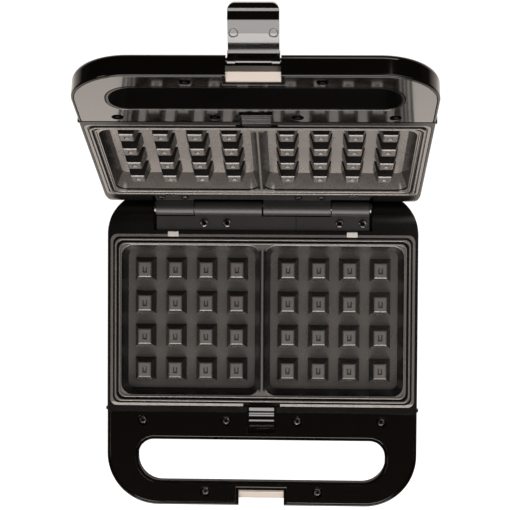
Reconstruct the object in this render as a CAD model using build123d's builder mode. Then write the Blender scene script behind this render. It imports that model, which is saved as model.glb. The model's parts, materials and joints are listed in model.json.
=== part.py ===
"""Two-slice waffle and sandwich maker, standing open.

Base and lid are twin halves.  Each half is drawn in its own frame: the origin is the centre of its
waffle plate at the top of the plate's flange, +Y points to the hinge and +Z out of the plate, to
the food.  The base frame lies level; the lid frame is turned over and swung open about the hinge.
The model's origin is on the table, under the middle of the open machine.
"""

import os
from math import cos, radians, tan

from build123d import *

os.makedirs("parts", exist_ok=True)

# ------------------------------------------------------------------ waffle plates
plate_width = 230.0
plate_depth = 130.0
plate_corner_radius = 5.0
flange_thickness = 3.0
ridge_inset = 3.2
ridge_width = 1.6
ridge_height = 1.1
bead_inset = 6.2
bead_width = 1.4
bead_height = 0.6
groove_inset = 1.9
groove_width = 1.2
groove_depth = 0.8
well_inset = 8.3
well_divider = 3.8
well_depth = 13.0
well_draft = 17.0
well_corner_radius = 8.7
pan_wall = 2.4
pan_floor = 2.5
peg_count = 4
peg_gap_x = 7.3
peg_gap_y = 7.8
peg_margin_x = 5.5
peg_margin_y = 5.8
peg_draft = 16.0
peg_sink = 1.7

# ------------------------------------------------------------------ how the halves meet
plate_gap = 3.0
hinge_behind_plate = 20.0
base_rise = 0.0
opening_angle = 110.3
latch_angle = 137.0

# ------------------------------------------------------------------ housings
side_margin = 2.3
seam_margin = 4.5
rear_margin = 14.0
body_depth = 41.0
rear_corner_radius = 34.0
bottom_radius = 9.0
nose_foot_inset = 7.5
nose_slope = 44.0
nose_radius = 16.0
handle_corner_radius = 39.0
handle_thickness = 16.0
handle_edge_radius = 5.0
wall = 2.4
parting = 9.0
fit = 0.4
stop_gap = 0.25
frame_edge = 0.8
cheek_start = 7.0
nib_size = 1.0
nib_length = 2.2

slot_margin = 21.2
slot_opening = 31.5
slot_side = 24.1
slot_rear_radius = 11.5
slot_front_radius = 17.0
slot_draft = 5.0
handle_bar = 18.5

seam_gap = 0.3
cover_drop = 0.3
cover_chamfer = 0.3
rim_width = 1.6
rim_gap = 0.4
rim_edge = 1.2

# ------------------------------------------------------------------ hinge
barrel_radius = 5.5
barrel_room = 0.8
pin_radius = 2.6
pin_play = 0.06
pin_head_radius = 4.2
pin_head = 1.2
pin_end_inset = 2.0
pin_room = 0.2
knuckle_gap = 0.6
knuckle_mid = 51.5
knuckle_end = 80.2
leaf_margin = 3.2
leaf_thickness = 3.0
leaf_drop = 1.5
flange_split = 25.0
flange_gap = 0.3
leaf_screw_inset = 5.4
leaf_screw_pitch = 17.4
long_leaf_screw_end = 7.2
short_leaf_screw_end = 6.5
seat_end_gap = 0.9
seat_front_gap = 0.3

# ------------------------------------------------------------------ fasteners
screw_radius = 1.5
screw_play = 0.05
screw_tip_room = 0.3
screw_head_radius = 3.0
screw_head = 1.5
screw_head_chamfer = 0.5
handle_screw_length = 9.5
frame_screw_length = 12.0
frame_screw_head_radius = 2.1
frame_screw_head = 1.2
leaf_screw_cover = 1.0
screw_well_radius = 4.0
screw_well_depth = 3.6
boss_radius = 5.6
frame_boss_radius = 3.6
frame_boss_depth = 20.0
near_screw_side = 26.8
near_screw_inner = 27.0
near_screw_inset = 7.2
far_screw_x = 42.6
far_screw_inset = 10.1
frame_screw_end = 31.0

# ------------------------------------------------------------------ latch and keeper
notch_width = 34.2
notch_depth = 11.8
notch_wall = 5.0
pivot_inset = 4.9
pivot_height = 3.1
latch_pin_radius = 1.5
latch_pin_grip = 3.5
latch_length = 36.0
latch_side_gap = 0.7
latch_step = 0.5
ear_length = 5.2
ear_radius = 3.0
latch_thickness = 2.4
latch_set_back = 0.8
latch_corner_radius = 4.5
hook_start = 25.5
hook_height = 2.6
hook_crest = 0.6
hook_length = 5.2
grip_height = 1.2
grip_length = 3.7
grip_ramp = 0.5
grip_tip = 0.1
latch_barrel_radius = 2.3
keeper_thickness = 1.2
keeper_tuck = 3.0
keeper_drop = 0.9
keeper_reach = 6.8
keeper_fall = 4.3
keeper_lip = 4.0
keeper_end = 1.6

# ------------------------------------------------------------------ plate release buttons
button_width = 21.2
button_margin = 0.8
button_length = 15.8
button_top = 0.3
button_thickness = 2.5
button_travel = 3.5
button_play = 0.4
button_under = 0.3
button_rib_height = 0.6
button_rib_width = 1.2
button_rib_pitch = 3.9
button_rib_count = 4
button_nose = 2.4
button_nose_width = 18.0
button_nose_thickness = 1.2
nose_pocket_width = 28.0
nose_pocket_length = 3.2
nose_pocket_depth = 1.5
stem_width = 8.0
stem_length = 6.0
stem_inset = 3.0
stem_foot_spread = 2.0
stem_foot = 2.0
spring_length = 8.6
spring_radius = 1.9
spring_wire = 0.3
spring_turns = 5
spring_room = 0.5
spring_height = 2.6

# ------------------------------------------------------------------ rear plate catches
catch_side = 47.5
catch_width = 8.0
catch_thickness = 0.9
catch_reach = 1.6
catch_back = 2.5
catch_leg = 4.5

# ------------------------------------------------------------------ heating
tray_sheet = 0.8
tray_room = 0.7
tray_corner_radius = 10.0
tray_depth = 17.0
tray_ear = 4.0
tray_ear_length = 30.0
tray_ear_side = 33.8
element_radius = 3.2
element_side = 27.0
element_end = 31.0
element_bend = 13.0
element_tail_x = 16.0
element_tail_room = 3.8
terminal_radius = 1.6
terminal_length = 13.0
terminal_room = 0.8
saddle_inset = 32.0
saddle_width = 6.0
saddle_length = 9.0
thermostat_x = -36.0
thermostat_radius = 8.0
thermostat_height = 6.0
blade_width = 3.0
blade_length = 8.0
blade_thickness = 0.8
fuse_x = 40.0
fuse_radius = 2.2
fuse_length = 14.0
block_width = 30.0
block_length = 16.0
block_height = 9.0
block_inset = 37.0

# ------------------------------------------------------------------ base underside and lid lamps
foot_radius = 7.5
foot_height = 4.0
foot_seat = 1.0
foot_chamfer = 0.8
foot_side = 25.3
foot_rear_inset = 19.0
foot_front_inset = 14.0
vent_length = 22.0
vent_width = 3.0
vent_pitch = 9.0
vent_rows = 4
vent_x = 45.0
gland_radius = 5.5
gland_collar = 1.6
gland_collar_radius = 7.0
gland_bore = 3.6
gland_depth = 10.0
lamp_x = 9.0
lamp_inset = 18.0
lamp_radius = 3.2
lamp_dome = 1.2
lamp_chamfer = 0.9
lamp_flange_radius = 4.4
lamp_flange = 1.0
holder_radius = 4.2
holder_room = 3.6

# ------------------------------------------------------------------ worked-out sizes
well_width = (plate_width - 2 * well_inset - well_divider) / 2
well_length = plate_depth - 2 * well_inset
well_x = (well_width + well_divider) / 2
well_lean = 2 * well_depth * tan(radians(well_draft))
peg_base_x = (well_width - well_lean - 2 * peg_margin_x + peg_gap_x) / peg_count - peg_gap_x
peg_base_y = (well_length - well_lean - 2 * peg_margin_y + peg_gap_y) / peg_count - peg_gap_y
peg_height = well_depth - peg_sink
plate_bottom = -(well_depth + pan_floor)
plate_height = body_depth + foot_height

hinge_reach = plate_depth / 2 + hinge_behind_plate
lid_rise = plate_gap - base_rise
rear_lean = (180 - opening_angle) / 2

seam = -(plate_depth / 2 + seam_margin)
slot_rear = seam - slot_margin
slot_front = slot_rear - slot_opening
handle_front = slot_front - handle_bar
body_width = plate_width + 2 * side_margin
body_half = body_width / 2
body_rear = hinge_reach + rear_margin
body_length = body_rear - handle_front
body_middle_y = (body_rear + handle_front) / 2
nose_foot = seam + nose_foot_inset
slot_width = body_width - 2 * slot_side
front_reach = hinge_reach - handle_front
opening_width = plate_width - 2 * (well_inset - pan_wall) + 2 * fit
opening_length = plate_depth - 2 * (well_inset - pan_wall) + 2 * fit
cover_inset = rim_width + rim_gap

leaf_front = plate_depth / 2 + leaf_margin
leaf_top = -leaf_drop
leaf_floor = leaf_top - leaf_thickness
flange_length = hinge_reach - barrel_radius - barrel_room - leaf_front
leaf_screw_y = leaf_front + leaf_screw_inset
leaf_screw_length = parting - leaf_drop - leaf_screw_cover
long_leaf_screw = long_leaf_screw_end - knuckle_mid
short_leaf_screw = knuckle_mid + short_leaf_screw_end
long_leaf_screws = (long_leaf_screw, long_leaf_screw + leaf_screw_pitch)
short_leaf_screws = (short_leaf_screw, short_leaf_screw + leaf_screw_pitch)
seat_half_width = knuckle_end + pin_room + pin_head + seat_end_gap

screw_seat = cover_drop + screw_well_depth
near_screw_y = seam - near_screw_inset
far_screw_y = handle_front + far_screw_inset
frame_screw_x = (opening_width + plate_width) / 4 + fit / 2
frame_screw_y = plate_depth / 2 - frame_screw_end

notch_rear = handle_front + notch_depth
latch_pivot_y = handle_front + pivot_inset
latch_pivot_z = pivot_height - handle_thickness
latch_pin_length = notch_width + 2 * latch_pin_grip
latch_ears = notch_width - 2 * latch_side_gap
latch_width = latch_ears - 2 * latch_step
keeper_top = -keeper_drop

button_rear = -(plate_depth / 2 + button_margin)
button_front = button_rear - button_length
button_floor = button_thickness - button_top + button_under
stem_front = button_front + stem_inset
spring_seat = stem_front - spring_length
spring_level = spring_height - parting
catch_x = plate_width / 2 - catch_side

tray_width = opening_width - 2 * tray_room
tray_length = opening_length - 2 * tray_room
tray_inner_width = tray_width - 2 * tray_sheet
tray_inner_length = tray_length - 2 * tray_sheet
tray_ear_x = tray_width / 2 - tray_ear_side
tray_underside = -parting - tray_depth
tray_floor = tray_underside + tray_sheet
element_leg_x = plate_width / 2 - element_side
element_leg_y = plate_depth / 2 - element_end
element_tail_y = tray_length / 2 - element_tail_room
saddle_x = element_leg_x - saddle_inset
block_y = body_rear - block_inset
block_level = -body_depth + wall + block_height / 2

foot_x = body_half - foot_side
foot_rear_y = body_rear - foot_rear_inset
foot_front_y = nose_foot + foot_front_inset
stop_fall = (rear_margin + stop_gap / cos(radians(rear_lean))) / tan(radians(rear_lean))
gland_z = -(body_depth + stop_fall) / 2
lamp_y = nose_foot + lamp_inset
holder_height = body_depth - wall - parting - tray_depth - holder_room

# ------------------------------------------------------------------ the two half frames
lid_up = Vector(0, 0, -1).rotate(Axis.X, -opening_angle)
lid_back = Vector(0, 1, 0).rotate(Axis.X, -opening_angle)
latch_down = Vector(0, 0, -1).rotate(Axis.X, -opening_angle - latch_angle)
latch_in = Vector(0, 1, 0).rotate(Axis.X, -opening_angle - latch_angle)
pivot_arm = lid_back * (latch_pivot_y - hinge_reach) + lid_up * (latch_pivot_z - lid_rise)
tip_arm = pivot_arm + latch_down * latch_length - latch_in * (latch_set_back + latch_thickness)
hinge_y = (front_reach - tip_arm.Y) / 2
hinge_point = Vector(0, hinge_y, plate_height + base_rise)

base = Plane(origin=(0, hinge_y - hinge_reach, plate_height), x_dir=(1, 0, 0), z_dir=(0, 0, 1))
lid_origin = hinge_point - lid_back * hinge_reach - lid_up * lid_rise
lid = Plane(origin=lid_origin, x_dir=(-1, 0, 0), z_dir=lid_up)
latch = Plane(origin=hinge_point + pivot_arm, x_dir=latch_down, z_dir=(1, 0, 0))


def across(frame, x=0.0):
    """Plane square to the frame's X, with the frame's Y and Z as its own X and Y."""
    origin = frame.from_local_coords(Vector(x, 0, 0))
    return Plane(origin=origin, x_dir=frame.y_dir, z_dir=frame.x_dir)


def finish(piece, name):
    """Label a finished piece and write it as its own file."""
    piece.label = name
    export_step(piece, f"parts/{name}.step")


# ------------------------------------------------------------------ plan outlines
def half_outline(plane, inset=0.0):
    """Plan of a whole half: broad rear corners and rounder handle corners."""
    with BuildSketch(plane) as outline:
        with Locations((0, body_middle_y)):
            Rectangle(body_width, body_length)
        corners = outline.vertices().group_by(Axis.Y)
        fillet(corners[-1], rear_corner_radius)
        fillet(outline.vertices().group_by(Axis.Y)[0], handle_corner_radius)
        if inset:
            offset(amount=-inset)
    return outline.sketch


def slot_outline(plane, grow=0.0):
    """Plan of the finger slot through the handle."""
    with BuildSketch(plane) as outline:
        with Locations((0, (slot_rear + slot_front) / 2)):
            Rectangle(slot_width, slot_rear - slot_front)
        fillet(outline.vertices().group_by(Axis.Y)[-1], slot_rear_radius)
        fillet(outline.vertices().group_by(Axis.Y)[0], slot_front_radius)
        if grow:
            offset(amount=grow)
    return outline.sketch


def side_profile(frame, rise, inset=0.0):
    """Side view of the deep body: sloped nose, flat floor, upright back and leaning stop face."""
    lean = tan(radians(rear_lean))
    top = body_depth
    stop_y = hinge_reach - stop_gap / cos(radians(rear_lean))
    stop_z = rise - (body_rear - stop_y) / lean
    with BuildSketch(across(frame)) as profile:
        with BuildLine():
            Polyline(
                (nose_foot - (body_depth + top) * tan(radians(nose_slope)), top),
                (nose_foot, -body_depth),
                (body_rear, -body_depth),
                (body_rear, stop_z),
                (stop_y + (rise - top) * lean, top),
                close=True,
            )
        make_face()
        if inset:
            offset(amount=-inset, kind=Kind.INTERSECTION)
    return profile.sketch


def frame_profile(frame, rise):
    """Side view of the inner frame: flat round the plate, then falling in a curve to the stop face."""
    stop_foot = (rise + parting) * tan(radians(rear_lean)) - stop_gap / cos(radians(rear_lean))
    with BuildSketch(across(frame)) as profile:
        with BuildLine():
            flat = Line((seam, 0), (plate_depth / 2 + cheek_start, 0))
            fall = TangentArc(flat @ 1, (hinge_reach + stop_foot, -parting), tangent=flat % 1)
            Polyline(fall @ 1, (seam, -parting), flat @ 0)
        make_face()
    return profile.sketch


# ------------------------------------------------------------------ housing forms
def body_form(frame, rise, top, inset=0.0):
    """Deep body of a half below the height top, drawn in by inset from its skin."""
    up = Axis(frame.origin, frame.z_dir)
    floor = body_depth - inset
    nose = Vector(0, -tan(radians(nose_slope)), 1)
    nose_edge = Axis(frame.origin, frame.y_dir * nose.Y + frame.z_dir * nose.Z)
    with BuildPart() as form:
        with BuildSketch(frame.offset(top)) as plan:
            with Locations((0, (body_rear + seam) / 2 - body_depth / 2)):
                Rectangle(body_width, body_rear - seam + body_depth)
            fillet(plan.vertices().group_by(Axis.Y)[-1], rear_corner_radius)
            if inset:
                offset(amount=-inset)
        extrude(amount=-(floor + top))
        section = side_profile(frame, rise, inset)
        extrude(section, amount=body_width, dir=frame.x_dir, both=True, mode=Mode.INTERSECT)
        fillet(form.edges().filter_by(nose_edge), nose_radius - inset)
        fillet(form.faces().sort_by(up)[0].edges(), bottom_radius - inset)
    return form.part


def handle_form(frame, top, inset=0.0):
    """Handle slab below the height top, with a rounded lower edge, drawn in by inset."""
    up = Axis(frame.origin, frame.z_dir)
    with BuildPart() as form:
        outline = half_outline(frame.offset(top), inset)
        extrude(outline, amount=-(handle_thickness - inset + top), dir=frame.z_dir)
        if not inset:
            fillet(form.faces().sort_by(up)[0].edges(), handle_edge_radius)
        with BuildSketch(frame.offset(top)):
            with Locations((0, nose_foot)):
                Rectangle(2 * body_width, 2 * (nose_foot - handle_front), align=(Align.CENTER, Align.MAX))
        extrude(amount=-body_depth, mode=Mode.INTERSECT)
    return form.part


def near_screws():
    """Places of the four handle screws beside the plate."""
    outer = body_half - near_screw_side
    return [(x, near_screw_y) for x in (-outer, -near_screw_inner, near_screw_inner, outer)]


def handle_screw_places():
    """Places of all six handle screws."""
    return near_screws() + [(-far_screw_x, far_screw_y), (far_screw_x, far_screw_y)]


def frame_screw_places():
    """Places of the four screws under the plate that hold the inner frame to the shell."""
    return [(x, y) for x in (-frame_screw_x, frame_screw_x) for y in (-frame_screw_y, frame_screw_y)]


def handle_walls(frame, top, depth):
    """Stock inside the hollow handle: round the finger slot and round the latch notch."""
    with BuildPart() as walls:
        extrude(slot_outline(frame.offset(top), cover_inset + wall), amount=-depth, dir=frame.z_dir)
        with BuildSketch(frame.offset(top)):
            with Locations((0, notch_rear + wall)):
                Rectangle(notch_width + 2 * notch_wall, body_length, align=(Align.CENTER, Align.MAX))
        extrude(amount=-depth)
    return walls.part


def handle_cuts(frame, top, depth):
    """Finger slot, wider towards the outside, and latch notch, as one cutter."""
    with BuildPart() as cuts:
        extrude(slot_outline(frame.offset(top)), amount=-depth, taper=-slot_draft)
        with BuildSketch(frame.offset(top)):
            with Locations((0, notch_rear)):
                Rectangle(notch_width, body_length, align=(Align.CENTER, Align.MAX))
        extrude(amount=-depth)
    return cuts.part


def handle_rim(frame):
    """Thin rim of the shell that frames the handle cover, round its edge, the slot and the notch."""
    up = Axis(frame.origin, frame.z_dir)
    top = frame.offset(-cover_drop)
    depth = parting - cover_drop
    with BuildPart() as field:
        extrude(half_outline(top, rim_width), amount=-depth, dir=frame.z_dir)
        extrude(slot_outline(top, rim_width), amount=-depth, dir=frame.z_dir, mode=Mode.SUBTRACT)
        with BuildSketch(top):
            with Locations((0, notch_rear + rim_width)):
                Rectangle(notch_width + 2 * rim_width, body_length, align=(Align.CENTER, Align.MAX))
        extrude(amount=-depth, mode=Mode.SUBTRACT)
    with BuildPart() as rim:
        extrude(half_outline(top), amount=-depth, dir=frame.z_dir)
        fillet(rim.faces().sort_by(up)[-1].edges(), rim_edge)
        add(field.part, mode=Mode.SUBTRACT)
        with BuildSketch(top):
            with Locations((0, seam - seam_gap)):
                Rectangle(2 * body_width, body_length, align=(Align.CENTER, Align.MAX))
        extrude(amount=-depth, mode=Mode.INTERSECT)
    return rim.part


def pivot_cut(frame, radius, length):
    """Cross hole for the latch pin through both sides of the notch."""
    with BuildPart() as hole:
        with BuildSketch(across(frame)):
            with Locations((latch_pivot_y, latch_pivot_z)):
                Circle(radius)
        extrude(amount=length / 2, both=True)
    return hole.part


def trough(frame, rise):
    """Round channel that the hinge barrels turn in."""
    with BuildPart() as channel:
        with BuildSketch(across(frame)):
            with Locations((hinge_reach, rise)):
                Circle(barrel_radius + barrel_room)
        extrude(amount=seat_half_width, both=True)
    return channel.part


def shell(frame, rise, keeper):
    """Outer housing of a half: deep body and outer half of the handle, hollow, with screw bosses."""
    form = body_form(frame, rise, -parting) + handle_form(frame, -parting)
    hollow = body_form(frame, rise, -parting, wall) + handle_form(frame, -parting, wall)
    with BuildPart() as inside:
        with BuildSketch(frame.offset(-parting)):
            with Locations(*handle_screw_places()):
                Circle(boss_radius)
        extrude(amount=-body_depth)
        with BuildSketch(frame.offset(-parting)):
            with Locations(*frame_screw_places()):
                Circle(frame_boss_radius)
        extrude(amount=-frame_boss_depth)
        add(handle_walls(frame, -parting, handle_thickness))
        add(form, mode=Mode.INTERSECT)
    with BuildPart() as housing:
        add(form)
        add(hollow, mode=Mode.SUBTRACT)
        add(inside.part)
        add(handle_rim(frame))
        add(handle_cuts(frame, 0, body_depth), mode=Mode.SUBTRACT)
        add(trough(frame, rise), mode=Mode.SUBTRACT)
        with BuildSketch(frame.offset(-parting)):
            with Locations(*handle_screw_places()):
                Circle(screw_radius + screw_play)
        hole_depth = screw_seat + handle_screw_length + screw_tip_room - parting
        extrude(amount=-hole_depth, mode=Mode.SUBTRACT)
        with BuildSketch(frame.offset(-parting)):
            with Locations(*frame_screw_places()):
                Circle(screw_radius + screw_play)
        hole_depth = flange_thickness + frame_screw_length + screw_tip_room - parting
        extrude(amount=-hole_depth, mode=Mode.SUBTRACT)
        add(keeper, mode=Mode.SUBTRACT)
    return housing.part


def base_shell(keeper):
    """Base housing with foot seats, floor vents and the cord gland's hole."""
    with BuildPart() as housing:
        add(shell(base, base_rise, keeper))
        with BuildSketch(base.offset(-body_depth)):
            with Locations(*foot_places()):
                Circle(foot_radius)
        extrude(amount=foot_seat, mode=Mode.SUBTRACT)
        with BuildSketch(base.offset(-body_depth)):
            with Locations((-vent_x, 0), (vent_x, 0)):
                with GridLocations(0, vent_pitch, 1, vent_rows):
                    SlotOverall(vent_length, vent_width)
        extrude(amount=wall, mode=Mode.SUBTRACT)
        with BuildSketch(gland_plane()):
            Circle(gland_radius)
        extrude(amount=-2 * wall, mode=Mode.SUBTRACT)
    return housing.part


def lid_shell(keeper):
    """Lid housing with the holes for the lamp lenses and the latch pin."""
    with BuildPart() as housing:
        add(shell(lid, lid_rise, keeper))
        add(pivot_cut(lid, latch_pin_radius, latch_pin_length), mode=Mode.SUBTRACT)
        with BuildSketch(lid.offset(-body_depth)):
            with Locations(*lamp_places()):
                Circle(lamp_radius)
        extrude(amount=wall, mode=Mode.SUBTRACT)
    return housing.part


def foot_places():
    """Places of the four feet."""
    return [(side * foot_x, y) for side in (-1, 1) for y in (foot_front_y, foot_rear_y)]


def lamp_places():
    """Places of the two lid lamps."""
    return [(-lamp_x, lamp_y), (lamp_x, lamp_y)]


def gland_plane():
    """Plane on the base's rear wall, square to it, at the cord gland."""
    origin = base.from_local_coords(Vector(0, body_rear, gland_z))
    return Plane(origin=origin, x_dir=-base.x_dir, z_dir=base.y_dir)


# ------------------------------------------------------------------ inner frame and handle cover
def inner_frame(frame, rise, catches):
    """Frame that carries the plate and the hinge, flush with the shell below it."""
    up = Axis(frame.origin, frame.z_dir)
    with BuildPart() as bezel:
        extrude(half_outline(frame), amount=-parting, dir=frame.z_dir)
        fillet(bezel.faces().sort_by(up)[-1].edges(), frame_edge)
        section = frame_profile(frame, rise)
        extrude(section, amount=body_width, dir=frame.x_dir, both=True, mode=Mode.INTERSECT)
        with BuildSketch(frame):
            RectangleRounded(plate_width + 2 * fit, plate_depth + 2 * fit, plate_corner_radius + fit)
        extrude(amount=-flange_thickness, mode=Mode.SUBTRACT)
        with BuildSketch(frame):
            RectangleRounded(opening_width, opening_length, well_corner_radius + pan_wall)
        extrude(amount=-parting, mode=Mode.SUBTRACT)
        with BuildSketch(frame):
            with Locations((0, leaf_front - seat_front_gap)):
                Rectangle(2 * seat_half_width, body_length, align=(Align.CENTER, Align.MIN))
        extrude(amount=leaf_floor, mode=Mode.SUBTRACT)
        add(trough(frame, rise), mode=Mode.SUBTRACT)
        with BuildSketch(frame):
            Rectangle(button_width + 2 * button_play, 2 * body_length, align=(Align.CENTER, Align.MAX))
        extrude(amount=-button_floor, mode=Mode.SUBTRACT)
        with BuildSketch(frame.offset(-flange_thickness)):
            with Locations(*frame_screw_places()):
                Circle(screw_radius + screw_play)
        extrude(amount=-parting, mode=Mode.SUBTRACT)
        with BuildSketch(frame.offset(-flange_thickness)):
            with Locations(*frame_screw_places()):
                Circle(frame_screw_head_radius + screw_play)
        extrude(amount=-frame_screw_head, mode=Mode.SUBTRACT)
        with BuildSketch(frame.offset(leaf_top)):
            with Locations(*leaf_screw_places()):
                Circle(screw_radius + screw_play)
        extrude(amount=-(leaf_screw_length + screw_tip_room), mode=Mode.SUBTRACT)
        with BuildSketch(frame.offset(-frame_edge)):
            with Locations((0, seam + nib_length)):
                Rectangle(body_width + 2 * nib_size, nib_length)
                Rectangle(body_width - wall, nib_length, mode=Mode.SUBTRACT)
        extrude(amount=-(parting - 2 * frame_edge))
        add(catches, mode=Mode.SUBTRACT)
    return bezel.part


def leaf_screw_places():
    """Places of the screws through the two hinge leaves of a half."""
    return [(x, leaf_screw_y) for x in long_leaf_screws + short_leaf_screws]


def handle_cover(frame, keeper):
    """Inner half of the handle, hollow, with screw wells, latch notch and the button's channel."""
    up = Axis(frame.origin, frame.z_dir)
    top = frame.offset(-cover_drop)
    depth = parting - cover_drop
    front = seam - seam_gap
    with BuildPart() as hollow:
        plan = half_outline(top.offset(-wall), cover_inset + wall)
        extrude(plan, amount=wall - depth, dir=frame.z_dir)
        with BuildSketch(frame):
            with Locations((0, front - wall)):
                Rectangle(2 * body_width, body_length, align=(Align.CENTER, Align.MAX))
        extrude(amount=-parting, mode=Mode.INTERSECT)
        with BuildSketch(frame):
            with Locations(*handle_screw_places()):
                Circle(boss_radius)
            with Locations((0, slot_rear)):
                block = button_width + 2 * button_play + 2 * wall
                Rectangle(block, body_depth, align=(Align.CENTER, Align.MIN))
        extrude(amount=-parting, mode=Mode.SUBTRACT)
        add(handle_walls(frame, 0, parting), mode=Mode.SUBTRACT)
    with BuildPart() as cover:
        extrude(half_outline(top, cover_inset), amount=-depth, dir=frame.z_dir)
        with BuildSketch(frame):
            with Locations((0, front)):
                Rectangle(2 * body_width, body_length, align=(Align.CENTER, Align.MAX))
        extrude(amount=-parting, mode=Mode.INTERSECT)
        add(hollow.part, mode=Mode.SUBTRACT)
        extrude(slot_outline(top, cover_inset), amount=-depth, dir=frame.z_dir, mode=Mode.SUBTRACT)
        with BuildSketch(top):
            with Locations((0, notch_rear + cover_inset)):
                Rectangle(notch_width + 2 * cover_inset, body_length, align=(Align.CENTER, Align.MAX))
        extrude(amount=-depth, mode=Mode.SUBTRACT)
        chamfer(cover.faces().sort_by(up)[-1].edges(), cover_chamfer)
        with BuildSketch(top):
            with Locations(*handle_screw_places()):
                Circle(screw_well_radius)
        extrude(amount=-screw_well_depth, mode=Mode.SUBTRACT)
        with BuildSketch(top):
            with Locations(*handle_screw_places()):
                Circle(screw_radius + screw_play)
        extrude(amount=-parting, mode=Mode.SUBTRACT)
        with BuildSketch(frame):
            with Locations((0, button_front - button_travel - button_play)):
                Rectangle(button_width + 2 * button_play, body_length, align=(Align.CENTER, Align.MIN))
        extrude(amount=-button_floor, mode=Mode.SUBTRACT)
        with BuildSketch(frame):
            with Locations((0, stem_front - button_travel - button_play)):
                stem_run = stem_length + button_travel + 2 * button_play
                Rectangle(stem_width + 2 * button_play, stem_run, align=(Align.CENTER, Align.MIN))
        extrude(amount=-parting, mode=Mode.SUBTRACT)
        spring_half = spring_radius + spring_wire + spring_room
        with BuildSketch(frame.offset(-parting)):
            with Locations((0, spring_seat)):
                Rectangle(2 * spring_half, stem_front - spring_seat, align=(Align.CENTER, Align.MIN))
        extrude(amount=parting + spring_level + spring_half, mode=Mode.SUBTRACT)
        add(keeper, mode=Mode.SUBTRACT)
    return cover.part


# ------------------------------------------------------------------ waffle plate and its catches
def rim_ring(frame, inset, width):
    """Plan of a ridge or groove that runs round the plate's flange."""
    with BuildSketch(frame) as ring:
        for edge in (inset, inset + width):
            kind = Mode.ADD if edge == inset else Mode.SUBTRACT
            outline = (plate_width - 2 * edge, plate_depth - 2 * edge)
            RectangleRounded(*outline, plate_corner_radius, mode=kind)
    return ring.sketch


def waffle_plate(frame):
    """Die-cast plate: rim with a ridge, two draughted wells and a grid of pegs in each."""
    wells = [(-well_x, 0), (well_x, 0)]
    with BuildPart() as plate:
        with BuildSketch(frame):
            RectangleRounded(plate_width, plate_depth, plate_corner_radius)
        extrude(amount=-flange_thickness)
        with BuildSketch(frame.offset(-flange_thickness)):
            pan_inset = well_inset - pan_wall
            pan_radius = well_corner_radius + pan_wall
            RectangleRounded(plate_width - 2 * pan_inset, plate_depth - 2 * pan_inset, pan_radius)
        extrude(amount=flange_thickness + plate_bottom, taper=well_draft)
        extrude(rim_ring(frame, ridge_inset, ridge_width), amount=ridge_height, dir=frame.z_dir)
        extrude(rim_ring(frame, bead_inset, bead_width), amount=bead_height, dir=frame.z_dir)
        inner_groove = ridge_inset + ridge_width
        for edge, width in ((groove_inset, groove_width), (inner_groove, bead_inset - inner_groove)):
            groove = rim_ring(frame, edge, width)
            extrude(groove, amount=-groove_depth, dir=frame.z_dir, mode=Mode.SUBTRACT)
        with BuildSketch(frame):
            with Locations(*wells):
                RectangleRounded(well_width, well_length, well_corner_radius)
        extrude(amount=-well_depth, taper=well_draft, mode=Mode.SUBTRACT)
        with BuildSketch(frame.offset(-well_depth)):
            with Locations(*wells):
                with GridLocations(peg_base_x + peg_gap_x, peg_base_y + peg_gap_y, peg_count, peg_count):
                    Rectangle(peg_base_x, peg_base_y)
        extrude(amount=peg_height, taper=peg_draft)
        with BuildSketch(frame.offset(-nose_pocket_depth)):
            with Locations((0, -plate_depth / 2)):
                Rectangle(nose_pocket_width, 2 * nose_pocket_length)
        extrude(amount=nose_pocket_depth + ridge_height, mode=Mode.SUBTRACT)
    return plate.part


def plate_catches(frame):
    """Two bent steel tabs that hold down the plate's rear flange."""
    edge = plate_depth / 2
    with BuildPart() as catches:
        for side in (-1, 1):
            with BuildSketch(across(frame, side * catch_x)):
                with BuildLine():
                    Polyline(
                        (edge - catch_reach, 0),
                        (edge + catch_back - catch_thickness, 0),
                        (edge + catch_back - catch_thickness, -catch_leg),
                        (edge + catch_back, -catch_leg),
                        (edge + catch_back, catch_thickness),
                        (edge - catch_reach, catch_thickness),
                        close=True,
                    )
                make_face()
            extrude(amount=catch_width / 2, both=True)
    return catches.part


# ------------------------------------------------------------------ release button
def release_button(frame):
    """Ribbed button: pad, nose over the plate's flange, stem through the cover and its foot."""
    pad_top = frame.offset(button_top)
    with BuildPart() as button:
        with BuildSketch(pad_top):
            with Locations((0, button_rear)):
                Rectangle(button_width, button_length, align=(Align.CENTER, Align.MAX))
        extrude(amount=-button_thickness)
        with BuildSketch(frame):
            with Locations((0, button_rear)):
                Rectangle(button_nose_width, button_nose, align=(Align.CENTER, Align.MIN))
        extrude(amount=-button_nose_thickness)
        with BuildSketch(pad_top):
            with Locations((0, (button_rear + button_front) / 2)):
                with GridLocations(0, button_rib_pitch, 1, button_rib_count):
                    Rectangle(button_width - 2 * button_rib_width, button_rib_width)
        extrude(amount=button_rib_height)
        with BuildSketch(pad_top):
            with Locations((0, stem_front)):
                Rectangle(stem_width, stem_length, align=(Align.CENTER, Align.MIN))
        extrude(amount=-(button_top + parting + button_play + stem_foot))
        with BuildSketch(frame.offset(-parting - button_play)):
            with Locations((0, stem_front + stem_length / 2)):
                Rectangle(stem_width + 2 * stem_foot_spread, stem_length)
        extrude(amount=-stem_foot)
    return button.part


def release_spring(frame):
    """Coil spring between the button's stem and the end of its pocket."""
    length = stem_front - spring_seat - 2 * spring_wire
    start = frame.from_local_coords(Vector(0, spring_seat + spring_wire, spring_level))
    with BuildPart() as spring:
        with BuildLine() as coil:
            Helix(length / spring_turns, length, spring_radius, center=start, direction=frame.y_dir)
        with BuildSketch(Plane(origin=coil.line @ 0, z_dir=coil.line % 0)):
            Circle(spring_wire)
        sweep(path=coil.line, is_frenet=True)
    return spring.part


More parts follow.
